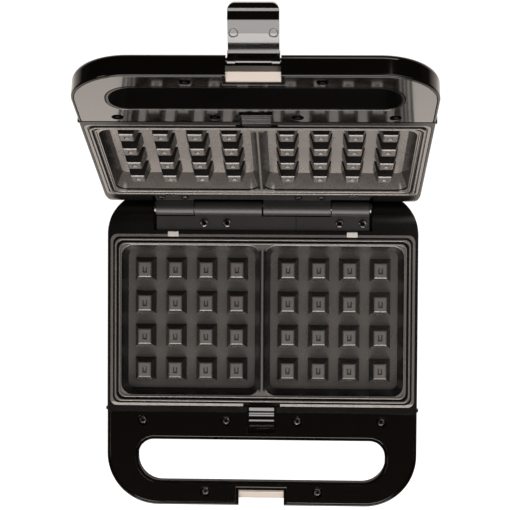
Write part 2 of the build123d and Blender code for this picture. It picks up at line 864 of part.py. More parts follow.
# ------------------------------------------------------------------ hinge
def hinge_leaf(frame, rise, barrel, flange, screws):
    """Hinge leaf: screwed flange, and a web and bored barrel, each from one x to another."""
    end_plane = across(frame, sum(barrel) / 2)
    half = (barrel[1] - barrel[0]) / 2
    with BuildPart() as leaf:
        with BuildSketch(frame.offset(leaf_top)):
            with Locations((sum(flange) / 2, leaf_front)):
                Rectangle(flange[1] - flange[0], flange_length, align=(Align.CENTER, Align.MIN))
        extrude(amount=-leaf_thickness)
        with BuildSketch(end_plane):
            with Locations((leaf_front, leaf_top)):
                Rectangle(hinge_reach - leaf_front, leaf_thickness, align=(Align.MIN, Align.MAX))
            with Locations((hinge_reach, rise)):
                Circle(barrel_radius)
            with Locations((hinge_reach, rise)):
                Rectangle(barrel_radius, rise - leaf_floor, align=Align.MAX)
        extrude(amount=half, both=True)
        with BuildSketch(end_plane):
            with Locations((hinge_reach, rise)):
                Circle(pin_radius + (0 if frame is base else pin_play))
        extrude(amount=half, both=True, mode=Mode.SUBTRACT)
        with BuildSketch(frame.offset(leaf_top)):
            with Locations(*[(x, leaf_screw_y) for x in screws]):
                Circle(screw_radius + screw_play)
        extrude(amount=-leaf_thickness, mode=Mode.SUBTRACT)
    return leaf.part


def hinge_pins():
    """Two headed pins, pushed in from the outer ends."""
    with BuildPart() as pins:
        for side in (-1, 1):
            head_start = side * (knuckle_end + pin_room)
            tip = side * pin_end_inset
            with BuildSketch(across(base, head_start)):
                with Locations((hinge_reach, base_rise)):
                    Circle(pin_head_radius)
            extrude(amount=side * pin_head)
            with BuildSketch(across(base, head_start)):
                with Locations((hinge_reach, base_rise)):
                    Circle(pin_radius)
            extrude(amount=tip - head_start)
    return pins.part


# ------------------------------------------------------------------ screws
def frame_screws(frame):
    """Sunk screws through the frame's ledge, flush under the plate's flange."""
    with BuildPart() as group:
        with BuildSketch(frame.offset(-flange_thickness)):
            with Locations(*frame_screw_places()):
                Circle(frame_screw_head_radius)
        extrude(amount=-frame_screw_head)
        with BuildSketch(frame.offset(-flange_thickness)):
            with Locations(*frame_screw_places()):
                Circle(screw_radius)
        extrude(amount=-frame_screw_length)
    return group.part


def screws(frame, places, seat, length):
    """Pan-head screws standing on the height seat."""
    up = Axis(frame.origin, frame.z_dir)
    with BuildPart() as group:
        with BuildSketch(frame.offset(seat)):
            with Locations(*places):
                Circle(screw_head_radius)
        extrude(amount=screw_head)
        chamfer(group.faces().group_by(up)[-1].edges(), screw_head_chamfer)
        with BuildSketch(frame.offset(seat)):
            with Locations(*places):
                Circle(screw_radius)
        extrude(amount=-length)
    return group.part


# ------------------------------------------------------------------ keeper and latch
def keeper_plate(frame):
    """Bent steel plate in the notch: tongue, sloped ramp and the lip that the latch hooks under."""
    bend_y = notch_rear - keeper_end
    lip_y = notch_rear - keeper_reach
    with BuildPart() as keeper:
        with BuildSketch(across(frame)):
            with BuildLine():
                bend = Polyline(
                    (notch_rear + keeper_tuck, keeper_top),
                    (bend_y, keeper_top),
                    (lip_y, keeper_top - keeper_fall),
                    (lip_y, keeper_top - keeper_fall - keeper_lip),
                )
                offset(bend, amount=keeper_thickness, side=Side.LEFT)
            make_face()
        extrude(amount=(notch_width + keeper_tuck) / 2, both=True)
    return keeper.part


def latch_pin():
    """Pin through both sides of the lid's notch."""
    with BuildPart() as pin:
        with BuildSketch(across(lid)):
            with Locations((latch_pivot_y, latch_pivot_z)):
                Circle(latch_pin_radius)
        extrude(amount=latch_pin_length / 2, both=True)
    return pin.part


def lid_latch():
    """Latch plate rolled round its pin, with two ears, a hook ridge and a sloped grip edge."""
    front = -latch_set_back - latch_thickness
    inner = -latch_set_back
    along = Axis(latch.origin, latch.x_dir)
    with BuildPart() as clasp:
        with BuildSketch(latch):
            with BuildLine():
                Polyline(
                    (ear_radius + latch_set_back, front),
                    (latch_length, front),
                    (latch_length, inner + grip_tip),
                    (latch_length - grip_length + grip_ramp, inner + grip_height),
                    (latch_length - grip_length, inner),
                    (hook_start + hook_length, inner),
                    (hook_start + hook_crest, inner + hook_height),
                    (hook_start, inner + hook_height),
                    (hook_start, inner),
                    (ear_radius + latch_set_back, inner),
                    close=True,
                )
            make_face()
        extrude(amount=latch_width / 2, both=True)
        corners = clasp.edges().filter_by(Axis(latch.origin, latch.y_dir)).sort_by(along)[-2:]
        fillet(corners, latch_corner_radius)
        root_length = ear_radius + 3 * latch_set_back
        with BuildSketch(latch):
            Circle(latch_barrel_radius)
            with Locations((0, front)):
                Rectangle(root_length, latch_thickness, align=Align.MIN)
        extrude(amount=latch_width / 2, both=True)
        for side in (-1, 1):
            middle = latch.offset(side * (latch_ears - ear_length) / 2)
            with BuildSketch(middle):
                Circle(ear_radius)
                with Locations((0, front)):
                    Rectangle(root_length, latch_thickness, align=Align.MIN)
            extrude(amount=ear_length / 2, both=True)
        with BuildSketch(latch):
            Circle(latch_pin_radius + screw_play)
        extrude(amount=latch_ears, both=True, mode=Mode.SUBTRACT)
    return clasp.part


# ------------------------------------------------------------------ heating
def heat_tray(frame):
    """Bright reflector tray under the plate, hung from the frame by four ears."""
    up = Axis(frame.origin, frame.z_dir)
    with BuildPart() as tray:
        with BuildSketch(frame.offset(-parting)):
            RectangleRounded(tray_width, tray_length, tray_corner_radius)
        extrude(amount=-tray_depth)
        offset(amount=-tray_sheet, openings=tray.faces().sort_by(up)[-1])
        with BuildSketch(frame.offset(-parting)):
            for side in (-1, 1):
                with Locations((-tray_ear_x, side * tray_length / 2), (tray_ear_x, side * tray_length / 2)):
                    Rectangle(tray_ear_length, 2 * tray_ear)
            RectangleRounded(tray_inner_width, tray_inner_length, tray_corner_radius, mode=Mode.SUBTRACT)
        extrude(amount=-tray_sheet)
        with BuildSketch(rod_end_plane(frame, tray_length / 2)):
            with Locations((-element_tail_x, 0), (element_tail_x, 0)):
                Circle(terminal_radius + terminal_room)
        extrude(amount=-2 * tray_sheet, mode=Mode.SUBTRACT)
    return tray.part


def rod_end_plane(frame, y):
    """Plane square to the heating rod's tails, with its origin between them."""
    middle = frame.from_local_coords(Vector(0, y, plate_bottom - element_radius))
    return Plane(origin=middle, x_dir=-frame.x_dir, z_dir=frame.y_dir)


def heating_element(frame):
    """Sheathed rod bent round under both wells, with a terminal pin at each end."""
    rod_plane = frame.offset(plate_bottom - element_radius)
    with BuildPart() as element:
        with BuildLine(rod_plane) as route:
            FilletPolyline(
                (-element_tail_x, element_tail_y),
                (-element_tail_x, element_leg_y),
                (-element_leg_x, element_leg_y),
                (-element_leg_x, -element_leg_y),
                (element_leg_x, -element_leg_y),
                (element_leg_x, element_leg_y),
                (element_tail_x, element_leg_y),
                (element_tail_x, element_tail_y),
                radius=element_bend,
            )
        with BuildSketch(Plane(origin=route.line @ 0, z_dir=route.line % 0)):
            Circle(element_radius)
        sweep(path=route.line)
        with BuildSketch(rod_end_plane(frame, element_tail_y)):
            with Locations((-element_tail_x, 0), (element_tail_x, 0)):
                Circle(terminal_radius)
        extrude(amount=terminal_length)
    return element.part


def element_saddles(frame):
    """Supports that press the rod up against the plate."""
    rod_drop = plate_bottom - 2 * element_radius
    with BuildPart() as saddles:
        with BuildSketch(frame.offset(tray_floor)):
            with GridLocations(2 * saddle_x, 2 * element_leg_y, 2, 2):
                Rectangle(saddle_width, saddle_length)
        extrude(amount=rod_drop + element_radius / 2 - tray_floor)
        for y in (-element_leg_y, element_leg_y):
            with BuildSketch(across(frame)):
                with Locations((y, plate_bottom - element_radius)):
                    Circle(element_radius)
            extrude(amount=saddle_x + saddle_width, both=True, mode=Mode.SUBTRACT)
    return saddles.part


def thermostat():
    """Disc thermostat on the tray's underside, with two blade terminals."""
    with BuildPart() as disc:
        with BuildSketch(base.offset(tray_underside)):
            with Locations((thermostat_x, 0)):
                Circle(thermostat_radius)
        extrude(amount=-thermostat_height)
        with BuildSketch(base.offset(tray_underside - thermostat_height + blade_thickness)):
            with Locations((thermostat_x, 0)):
                Rectangle(blade_width, 2 * (thermostat_radius + blade_length))
        extrude(amount=-blade_thickness)
    return disc.part


def thermal_fuse():
    """Thermal fuse clipped under the tray."""
    fuse_plane = across(base, fuse_x)
    with BuildPart() as fuse:
        with BuildSketch(fuse_plane):
            with Locations((0, tray_underside - fuse_radius)):
                Circle(fuse_radius)
        extrude(amount=fuse_length / 2, both=True)
        with BuildSketch(fuse_plane):
            with Locations((0, tray_underside - fuse_radius)):
                Circle(fuse_radius / 3)
        extrude(amount=fuse_length, both=True)
    return fuse.part


def terminal_block():
    """Ceramic terminal block on the base floor, with three wire ways."""
    middle = base.from_local_coords(Vector(0, block_y, block_level))
    with BuildPart() as block:
        with BuildSketch(base.offset(-body_depth + wall)):
            with Locations((0, block_y)):
                Rectangle(block_width, block_length)
        extrude(amount=block_height)
        with BuildSketch(Plane(origin=middle, z_dir=base.y_dir)):
            with GridLocations(block_width / 3, 0, 3, 1):
                Circle(block_height / 5)
        extrude(amount=block_length, both=True, mode=Mode.SUBTRACT)
    return block.part


# ------------------------------------------------------------------ small base and lid pieces
def feet():
    """Four rubber feet, seated in the base floor."""
    down = Axis(base.origin, base.z_dir)
    with BuildPart() as pads:
        with BuildSketch(base.offset(-body_depth + foot_seat)):
            with Locations(*foot_places()):
                Circle(foot_radius)
        extrude(amount=-(foot_height + foot_seat))
        chamfer(pads.faces().group_by(down)[0].edges(), foot_chamfer)
    return pads.part


def cord_gland():
    """Bush in the rear wall that the supply cord passes through."""
    with BuildPart() as gland:
        with BuildSketch(gland_plane()):
            Circle(gland_radius)
        extrude(amount=-gland_depth)
        with BuildSketch(gland_plane()):
            Circle(gland_collar_radius)
        extrude(amount=gland_collar)
        with BuildSketch(gland_plane()):
            Circle(gland_bore)
        extrude(amount=gland_depth, both=True, mode=Mode.SUBTRACT)
    return gland.part


def lamp_lens(place):
    """Domed lens with an inner flange, in the lid's outer skin."""
    outer = lid.offset(-body_depth)
    down = Axis(lid.origin, lid.z_dir)
    with BuildPart() as lens:
        with BuildSketch(outer):
            with Locations(place):
                Circle(lamp_radius)
        extrude(amount=-lamp_dome)
        chamfer(lens.faces().sort_by(down)[0].edges(), lamp_chamfer)
        with BuildSketch(outer):
            with Locations(place):
                Circle(lamp_radius)
        extrude(amount=wall)
        with BuildSketch(outer.offset(wall)):
            with Locations(place):
                Circle(lamp_flange_radius)
        extrude(amount=lamp_flange)
    return lens.part


def lamp_holders():
    """Two neon lamps in their sleeves behind the lenses."""
    with BuildPart() as holders:
        with BuildSketch(lid.offset(-body_depth + wall + lamp_flange)):
            with Locations(*lamp_places()):
                Circle(holder_radius)
        extrude(amount=holder_height)
    return holders.part


# ------------------------------------------------------------------ the assembly
long_barrel = (-(knuckle_mid - knuckle_gap / 2), -knuckle_gap)
short_barrel = (knuckle_mid + knuckle_gap / 2, knuckle_end)
long_flange = (-knuckle_end, flange_split)
short_flange = (flange_split + flange_gap, knuckle_end)

for half, frame, rise in (("base", base, base_rise), ("lid", lid, lid_rise)):
    keeper = keeper_plate(frame)
    catches = plate_catches(frame)
    finish(keeper, f"{half}_keeper")
    finish(catches, f"{half}_plate_catches")
    finish(waffle_plate(frame), f"{half}_waffle_plate")
    finish(inner_frame(frame, rise, catches), f"{half}_inner_frame")
    finish(handle_cover(frame, keeper), f"{half}_handle_cover")
    finish(release_button(frame), f"{half}_release_button")
    finish(release_spring(frame), f"{half}_release_spring")
    long_leaf = hinge_leaf(frame, rise, long_barrel, long_flange, long_leaf_screws)
    short_leaf = hinge_leaf(frame, rise, short_barrel, short_flange, short_leaf_screws)
    finish(long_leaf, f"{half}_hinge_leaf_long")
    finish(short_leaf, f"{half}_hinge_leaf_short")
    finish(screws(frame, leaf_screw_places(), leaf_top, leaf_screw_length), f"{half}_hinge_screws")
    finish(screws(frame, handle_screw_places(), -screw_seat, handle_screw_length), f"{half}_handle_screws")
    finish(frame_screws(frame), f"{half}_frame_screws")
    finish(heat_tray(frame), f"{half}_heat_tray")
    finish(heating_element(frame), f"{half}_heating_element")
    finish(element_saddles(frame), f"{half}_element_saddles")

finish(base_shell(keeper_plate(base)), "base_shell")
finish(lid_shell(keeper_plate(lid)), "lid_shell")
finish(hinge_pins(), "hinge_pins")
finish(lid_latch(), "lid_latch")
finish(latch_pin(), "latch_pin")
finish(thermostat(), "thermostat")
finish(thermal_fuse(), "thermal_fuse")
finish(terminal_block(), "terminal_block")
finish(feet(), "feet")
finish(cord_gland(), "cord_gland")
finish(lamp_lens(lamp_places()[0]), "power_lamp_lens")
finish(lamp_lens(lamp_places()[1]), "ready_lamp_lens")
finish(lamp_holders(), "lamp_holders")
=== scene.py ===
"""The looks of the two-slice waffle and sandwich maker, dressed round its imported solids.

Base and lid are twin halves.  What both carry is written once, in the half's own millimetres
(+Y to the hinge, +Z to the food), and placed through BASE and LID.  The latch has millimetres of
its own, placed through LATCH.  Everything else is in metres.
"""

import json
from math import cos, pi, radians, sin

import bmesh
import bpy
from mathutils import Matrix, Vector


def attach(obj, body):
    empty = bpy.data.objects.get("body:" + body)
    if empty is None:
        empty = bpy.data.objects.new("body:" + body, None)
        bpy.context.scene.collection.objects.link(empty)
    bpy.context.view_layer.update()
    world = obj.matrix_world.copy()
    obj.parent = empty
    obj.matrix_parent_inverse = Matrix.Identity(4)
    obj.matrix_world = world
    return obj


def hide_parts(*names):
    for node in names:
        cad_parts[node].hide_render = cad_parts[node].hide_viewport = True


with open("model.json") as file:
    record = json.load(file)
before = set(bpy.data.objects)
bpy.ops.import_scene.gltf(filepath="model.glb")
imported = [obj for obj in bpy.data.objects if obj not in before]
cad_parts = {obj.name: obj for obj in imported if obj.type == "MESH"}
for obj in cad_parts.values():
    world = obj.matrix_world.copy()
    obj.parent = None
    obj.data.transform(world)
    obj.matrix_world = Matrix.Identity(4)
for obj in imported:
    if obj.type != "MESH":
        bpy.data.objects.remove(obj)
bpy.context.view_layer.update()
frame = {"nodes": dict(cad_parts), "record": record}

MM = 0.001
OPENING = radians(110.3)
SCALE = Matrix.Scale(MM, 4)
BASE = Matrix.Translation((0, -0.035131, 0.045)) @ SCALE
LID_TURN = Matrix.Rotation(-OPENING, 4, "X") @ Matrix.Rotation(pi, 4, "Y")
LID = Matrix.Translation((0, 0.082172, 0.12368)) @ LID_TURN @ SCALE
HALVES = {"base": BASE, "lid": LID}


# ------------------------------------------------------------------ camera
SENSOR = 36.0
LENS = 104.66
NEAREST = 0.05
FARTHEST = 20.0
CAMERA_PLACE = (0.03406, 0.052219, 1.16272)
CAMERA_RIGHT = (0.99934808, 0.00555381, -0.03567305)
CAMERA_UP = (-0.00674937, 0.99941653, -0.03348203)
CAMERA_BACK = (0.03546629, 0.03370097, 0.99880248)


def aim_camera():
    """The camera stands high over the open machine and looks nearly straight down."""
    data = bpy.data.cameras.new("camera")
    data.sensor_width = SENSOR
    data.lens = LENS
    data.clip_start = NEAREST
    data.clip_end = FARTHEST
    camera = bpy.data.objects.new("camera", data)
    turn = Matrix((CAMERA_RIGHT, CAMERA_UP, CAMERA_BACK)).transposed().to_4x4()
    camera.matrix_world = Matrix.Translation(CAMERA_PLACE) @ turn
    bpy.context.scene.collection.objects.link(camera)
    bpy.context.scene.camera = camera


# ------------------------------------------------------------------ shader sums
class Wire:
    """A node's output that Python's own operators work on."""

    def __init__(self, paint, socket):
        self.paint = paint
        self.socket = socket

    def __add__(self, other):
        return self.paint.sum("ADD", self, other)

    def __radd__(self, other):
        return self.paint.sum("ADD", other, self)

    def __sub__(self, other):
        return self.paint.sum("SUBTRACT", self, other)

    def __rsub__(self, other):
        return self.paint.sum("SUBTRACT", other, self)

    def __mul__(self, other):
        return self.paint.sum("MULTIPLY", self, other)

    def __rmul__(self, other):
        return self.paint.sum("MULTIPLY", other, self)

    def __gt__(self, other):
        return self.paint.sum("GREATER_THAN", self, other)

    def __lt__(self, other):
        return self.paint.sum("LESS_THAN", self, other)


MIX_FACTOR, MIX_FIRST, MIX_SECOND, MIX_RESULT = 0, 6, 7, 2


class Paint:
    """A node tree that finishes are written into."""

    def __init__(self, tree):
        self.tree = tree

    def node(self, kind, settings=None, inputs=None, output=0):
        """Any node: its settings are set first, then the values or links of its sockets."""
        made = self.tree.nodes.new("ShaderNode" + kind)
        for key, value in (settings or {}).items():
            if key == "stops":
                self.stops(made.color_ramp, value)
            else:
                setattr(made, key, value)
        for key, value in (inputs or {}).items():
            self.feed(made.inputs[key], value)
        return Wire(self, made.outputs[output]) if made.outputs else None

    def stops(self, ramp, stops):
        """Colour ramp stops, as (place, grey or colour)."""
        while len(ramp.elements) < len(stops):
            ramp.elements.new(0.5)
        for element, (place, colour) in zip(ramp.elements, stops):
            element.position = place
            if isinstance(colour, (int, float)):
                colour = (colour, colour, colour)
            element.color = (*colour, 1.0)

    def feed(self, socket, value):
        """Links a wire to a socket, or sets the socket's own value."""
        if isinstance(value, Wire):
            self.tree.links.new(value.socket, socket)
        elif isinstance(value, tuple) and len(value) == 3 and len(socket.default_value) == 4:
            socket.default_value = (*value, 1.0)
        else:
            socket.default_value = value

    def sum(self, operation, first, second):
        """A Math node on two values."""
        return self.node("Math", {"operation": operation}, {0: first, 1: second})

    def place(self, stretch=(1, 1, 1)):
        """The surface's own place in metres, stretched."""
        here = self.node("TexCoord", output="Object")
        return self.node("Mapping", None, {"Vector": here, "Scale": stretch})

    def noise(self, scale, detail=2.0, rough=0.5, place=None):
        """Smooth noise about 0.5; scale is its lumps per metre."""
        inputs = {"Vector": place or self.place(), "Scale": scale, "Detail": detail, "Roughness": rough}
        return self.node("TexNoise", None, inputs, "Fac")

    def cells(self, scale, output="Distance"):
        """Random cells, scale of them per metre."""
        inputs = {"Vector": self.place(), "Scale": scale}
        return self.node("TexVoronoi", None, inputs, output)

    def speckle(self, scale):
        """A random value for each of the cells."""
        return self.node("SeparateColor", None, {"Color": self.cells(scale, "Color")})

    def ramp(self, wire, *stops):
        """Colours along a value, as (place, colour)."""
        return self.node("ValToRGB", {"stops": stops}, {"Fac": wire}, "Color")

    def band(self, wire, start, end, low=0.0, high=1.0):
        """Runs from low at start to high at end."""
        inputs = {"Value": wire, "From Min": start, "From Max": end, "To Min": low, "To Max": high}
        return self.node("MapRange", None, inputs)

    def size(self, wire):
        """A value without its sign."""
        return self.node("Math", {"operation": "ABSOLUTE"}, {0: wire})

    def dot(self, wire, way):
        """How far a vector reaches along a way."""
        return self.node("VectorMath", {"operation": "DOT_PRODUCT"}, {0: wire, 1: tuple(way)}, "Value")

    def blend(self, mask, first, second):
        """Colour first where the mask is 0, second where it is 1."""
        settings = {"data_type": "RGBA", "clamp_factor": True}
        inputs = {MIX_FACTOR: mask, MIX_FIRST: first, MIX_SECOND: second}
        return self.node("Mix", settings, inputs, MIX_RESULT)


class Finish(Paint):
    """One surface finish: a material whose shader takes the sums written for it."""

    def __init__(self, name, **constants):
        self.material = bpy.data.materials.new(name)
        self.material.use_nodes = True
        super().__init__(self.material.node_tree)
        self.shader = self.tree.nodes["Principled BSDF"]
        for key, value in constants.items():
            self.set(key.replace("_", " ").title().replace("Ior", "IOR"), value)

    def set(self, socket, value):
        """Gives one of the shader's sockets a value or a wire."""
        self.feed(self.shader.inputs[socket], value)

    def bump(self, height, depth, strength=1.0):
        """Relief: height runs from 0 to 1 and stands for depth in metres."""
        inputs = {"Height": height, "Strength": strength, "Distance": depth}
        self.set("Normal", self.node("Bump", None, inputs))
        return self


# ------------------------------------------------------------------ finishes
def gloss_black(name, specular, coat, rough):
    """Polished moulded plastic: faint ripple, a few hairline rubs and a trace of dust."""
    f = Finish(name, specular_ior_level=specular, coat_weight=coat, coat_roughness=0.04)
    rub = f.noise(90.0, 4.0, 0.6, f.place((1.0, 9.0, 1.0)))
    dust = f.cells(2600.0) < 0.07
    f.set("Base Color", f.blend(dust * 0.5, (0.0026, 0.0021, 0.0017), (0.012, 0.0105, 0.009)))
    f.set("Roughness", rub * 0.08 + rough + dust * 0.2)
    return f.bump(f.noise(40.0, 1.0), 0.00012, 0.25).material


def slot_lining():
    """The dull inner walls of the finger slots."""
    f = Finish("slot_lining", specular_ior_level=0.08)
    cloud = f.noise(60.0, 3.0)
    f.set("Base Color", f.blend(cloud, (0.0014, 0.0012, 0.001), (0.0025, 0.0021, 0.0018)))
    f.set("Roughness", cloud * 0.1 + 0.6)
    return f.bump(f.noise(2600.0, 2.0), 0.00003, 0.4).material


def satin_black():
    """Heat-proof moulded plastic with a fine spark-eroded grain."""
    f = Finish("satin_black", specular_ior_level=0.28)
    cloud = f.noise(35.0, 3.0)
    f.set("Base Color", f.blend(cloud, (0.0022, 0.0019, 0.0017), (0.0042, 0.0038, 0.0035)))
    f.set("Roughness", cloud * 0.10 + 0.22)
    return f.bump(f.noise(3200.0, 2.0), 0.00003, 0.5).material


# Colours and bands that paint light and shade into the plate coat: near black walls and grooves are painted
# shade, the paler floors, rear wall and front lip are painted light
WALL_PAINTED_SHADE = (0.014, 0.0125, 0.0115)
COAT = (0.142, 0.131, 0.123)
COAT_RUBBED = (0.168, 0.155, 0.146)
COAT_GLINT = (0.30, 0.28, 0.26)
GROOVE_SHADE_PAINTED = (0.008, 0.007, 0.0065)
LIP_PAINTED_HIGHLIGHT_BAND = (-62.0, -63.0)
REAR_WALL_PAINTED_LIGHT_BAND = (48.0, 51.0)
FLOOR_PAINTED_LIGHT_BAND = (-9.0, -13.0)
GROOVE_PAINTED_SHADE_BANDS = ((-0.25, -0.65), (-1.62, -1.56))
SHOULDER_PAINTED_SHADE_BANDS = ((0.45, 0.95), (3.2, 2.6))
SHOULDER_PAINTED_SHADE_ENDS = (55.0, 52.0)
SHOULDER_PAINTED_SHADE_FLOOR = -1.0
STEEP_PAINTED_SHADE_BAND = (0.92, 0.55)
GLINT_LIMIT = 0.86


def plate_coat(name, half, floor, rear_wall_painted_light, lip):
    """Non-stick coat on cast aluminium, paler where it is rubbed, with bright metallic flecks. Painted
    shade makes it near black in its grooves, beside its middle line and on its steep walls; painted light
    and shade set each half's well floors, rear wall and front lip.
    """
    f = Finish(name)
    home = HALVES[half].inverted()
    here = f.node("TexCoord", output="Object")
    facing = f.node("TexCoord", output="Normal")
    across, back, up = home.to_3x3()
    level = f.dot(here, up) + home.translation.z
    side = f.size(f.dot(here, across) + home.translation.x)
    along = f.dot(here, back) + home.translation.y
    # painted shade: the steeper a face, the nearer black its colour
    steep_painted_shade = f.band(f.dot(facing, up * MM), *STEEP_PAINTED_SHADE_BAND)
    cloud = f.noise(28.0, 3.0)
    glint = f.speckle(2400.0) > GLINT_LIMIT
    coat = f.blend(cloud, COAT, COAT_RUBBED)
    # painted highlight: the base's front lip is much paler; the lid's keeps the coat colour
    coat = f.blend(f.band(along, *LIP_PAINTED_HIGHLIGHT_BAND), coat, lip)
    # painted light and shade on the well floors: paler on the lid, a little darker on the base
    coat = f.blend(f.band(level, *FLOOR_PAINTED_LIGHT_BAND), coat, floor)
    coat = f.blend(glint * 0.5, coat, COAT_GLINT)
    # painted shade: steep walls near black, but the lid's rear wall is painted paler as light
    coat = f.blend(steep_painted_shade, coat, f.blend(f.band(along, *REAR_WALL_PAINTED_LIGHT_BAND), WALL_PAINTED_SHADE, rear_wall_painted_light))
    # painted shade: grooves, and strips beside the middle line, near black
    groove = f.band(level, *GROOVE_PAINTED_SHADE_BANDS[0]) * f.band(level, *GROOVE_PAINTED_SHADE_BANDS[1])
    shoulder_painted_shade = f.band(side, *SHOULDER_PAINTED_SHADE_BANDS[0]) * f.band(side, *SHOULDER_PAINTED_SHADE_BANDS[1])
    shoulder_painted_shade = shoulder_painted_shade * (level > SHOULDER_PAINTED_SHADE_FLOOR) * f.band(f.size(along), *SHOULDER_PAINTED_SHADE_ENDS)
    groove = f.sum("MAXIMUM", groove, shoulder_painted_shade)
    f.set("Base Color", f.blend(groove, coat, GROOVE_SHADE_PAINTED))
    f.set("Metallic", glint * 0.3 + 0.42)
    f.set("Roughness", cloud * 0.10 + 0.22)
    return f.bump(f.noise(1500.0, 2.0), 0.00004, 0.4).material


def hinge_coat():
    """Baked black enamel on pressed steel."""
    f = Finish("hinge_coat")
    cloud = f.noise(45.0, 3.0)
    f.set("Base Color", f.blend(cloud, (0.012, 0.0108, 0.010), (0.018, 0.0165, 0.0155)))
    f.set("Roughness", cloud * 0.10 + 0.36)
    return f.bump(f.noise(1900.0, 2.0), 0.00003, 0.4).material


def brushed(name, colour, worn, rough, stretch):
    """Rolled or drawn metal with its grain along one way."""
    f = Finish(name, metallic=1.0)
    grain = f.noise(900.0, 4.0, 0.65, f.place(stretch))
    cloud = f.noise(50.0, 2.0)
    f.set("Base Color", f.blend(cloud, colour, worn))
    f.set("Roughness", grain * 0.16 + rough)
    return f.bump(grain, 0.00002, 0.35).material


def blued_steel():
    """Blackened screws, worn a little brighter on the high spots."""
    f = Finish("blued_steel", metallic=1.0)
    wear = f.noise(700.0, 4.0, 0.6)
    f.set("Base Color", f.ramp(wear, (0.45, (0.06, 0.055, 0.052)), (0.75, (0.30, 0.285, 0.27))))
    f.set("Roughness", wear * 0.15 + 0.2)
    return f.bump(wear, 0.00002, 0.3).material


def keeper_steel(name, colour, worn):
    """Nickelled strip, satin."""
    f = Finish(name, metallic=1.0)
    grain = f.noise(900.0, 4.0, 0.65, f.place((1, 14, 14)))
    cloud = f.noise(60.0, 2.0)
    f.set("Base Color", f.blend(cloud, colour, worn))
    f.set("Roughness", grain * 0.12 + 0.42)
    return f.bump(grain, 0.00002, 0.3).material


def aluminised():
    """Hot-dipped aluminised sheet with its faint spangle."""
    f = Finish("aluminised", metallic=1.0)
    spangle = f.speckle(260.0)
    f.set("Base Color", f.blend(spangle, (0.62, 0.62, 0.62), (0.76, 0.76, 0.75)))
    f.set("Roughness", spangle * 0.15 + 0.32)
    return f.bump(f.noise(900.0), 0.00002, 0.3).material


def rod_sheath():
    """Heating rod: oxidised sheath with straw and grey heat tints."""
    f = Finish("rod_sheath", metallic=0.9)
    tint = f.noise(40.0, 3.0)
    f.set("Base Color", f.ramp(tint, (0.3, (0.09, 0.085, 0.085)), (0.6, (0.2, 0.17, 0.14))))
    f.set("Roughness", tint * 0.2 + 0.4)
    return f.bump(f.noise(1200.0), 0.00003, 0.4).material


def ceramic_white():
    """Glazed ceramic for the terminal block and the lamp holders."""
    f = Finish("ceramic_white", coat_weight=0.3)
    cloud = f.noise(120.0, 3.0)
    f.set("Base Color", f.blend(cloud, (0.66, 0.63, 0.57), (0.73, 0.70, 0.64)))
    f.set("Roughness", cloud * 0.1 + 0.3)
    return f.bump(f.noise(700.0), 0.00004, 0.3).material


def foot_rubber():
    """Soft black rubber, a little dusty."""
    f = Finish("foot_rubber")
    dust = f.noise(180.0, 5.0, 0.7)
    f.set("Base Color", f.blend(dust, (0.013, 0.013, 0.013), (0.035, 0.034, 0.033)))
    f.set("Roughness", dust * 0.15 + 0.62)
    return f.bump(f.noise(2600.0, 3.0), 0.00008, 0.6).material


def lamp_lens(name, deep, bright):
    """Clear tinted lens with moulded prisms inside, deeper and paler in colour from cell to cell."""
    f = Finish(name, coat_weight=0.6, transmission_weight=0.25)
    prism = f.cells(900.0)
    f.set("Base Color", f.blend(prism, deep, bright))
    f.set("Roughness", prism * 0.1 + 0.08)
    return f.bump(prism, 0.0001, 0.3).material


# The keeper strips are one nickelled steel in two colours: the lid's is painted darker as shade against the
# stronger light on it, the base's paler as painted light
BASE_KEEPER_PAINTED_LIGHT = (0.285, 0.254, 0.230), (0.320, 0.285, 0.257)
LID_KEEPER_PAINTED_SHADE = (0.205, 0.182, 0.165), (0.232, 0.206, 0.186)
# Each half's plate colours for floor, rear wall and front lip paint light and shade: the base's floor
# darker, its rear wall as dark as the other walls and its lip much paler; the lid's floor and rear wall
# paler, its lip the plain coat
BASE_PLATE_PAINTED_LIGHT = (0.12, 0.111, 0.104), WALL_PAINTED_SHADE, (0.50, 0.465, 0.44)
LID_PLATE_PAINTED_LIGHT = (0.245, 0.226, 0.212), (0.20, 0.185, 0.172), COAT
FINISHES = {
    "gloss_black": gloss_black("gloss_black", 0.32, 0.0, 0.06),
    "piano_black": gloss_black("piano_black", 0.5, 1.0, 0.05),
    "slot_lining": slot_lining(),
    "blued_steel": blued_steel(),
    "base_keeper_steel": keeper_steel("base_keeper_steel", *BASE_KEEPER_PAINTED_LIGHT),
    "lid_keeper_steel": keeper_steel("lid_keeper_steel", *LID_KEEPER_PAINTED_SHADE),
    "satin_black": satin_black(),
    "base_plate_coat": plate_coat("base_plate_coat", "base", *BASE_PLATE_PAINTED_LIGHT),
    "lid_plate_coat": plate_coat("lid_plate_coat", "lid", *LID_PLATE_PAINTED_LIGHT),
    "hinge_coat": hinge_coat(),
    "steel": brushed("steel", (0.50, 0.49, 0.47), (0.58, 0.56, 0.54), 0.22, (1, 12, 12)),
    "catch_steel": brushed("catch_steel", (0.80, 0.76, 0.72), (0.88, 0.84, 0.80), 0.40, (1, 14, 14)),
    "aluminised": aluminised(),
    "rod_sheath": rod_sheath(),
    "ceramic_white": ceramic_white(),
    "foot_rubber": foot_rubber(),
    "lamp_red": lamp_lens("lamp_red", (0.30, 0.008, 0.006), (0.55, 0.02, 0.015)),
    "lamp_green": lamp_lens("lamp_green", (0.02, 0.18, 0.04), (0.05, 0.36, 0.09)),
}


# ------------------------------------------------------------------ pieces
def body_of(node):
    """The CAD body that carries a node."""
    for body, members in frame["record"]["behaviour"]["bodies"].items():
        if node in members:
            return body
    raise KeyError(node)


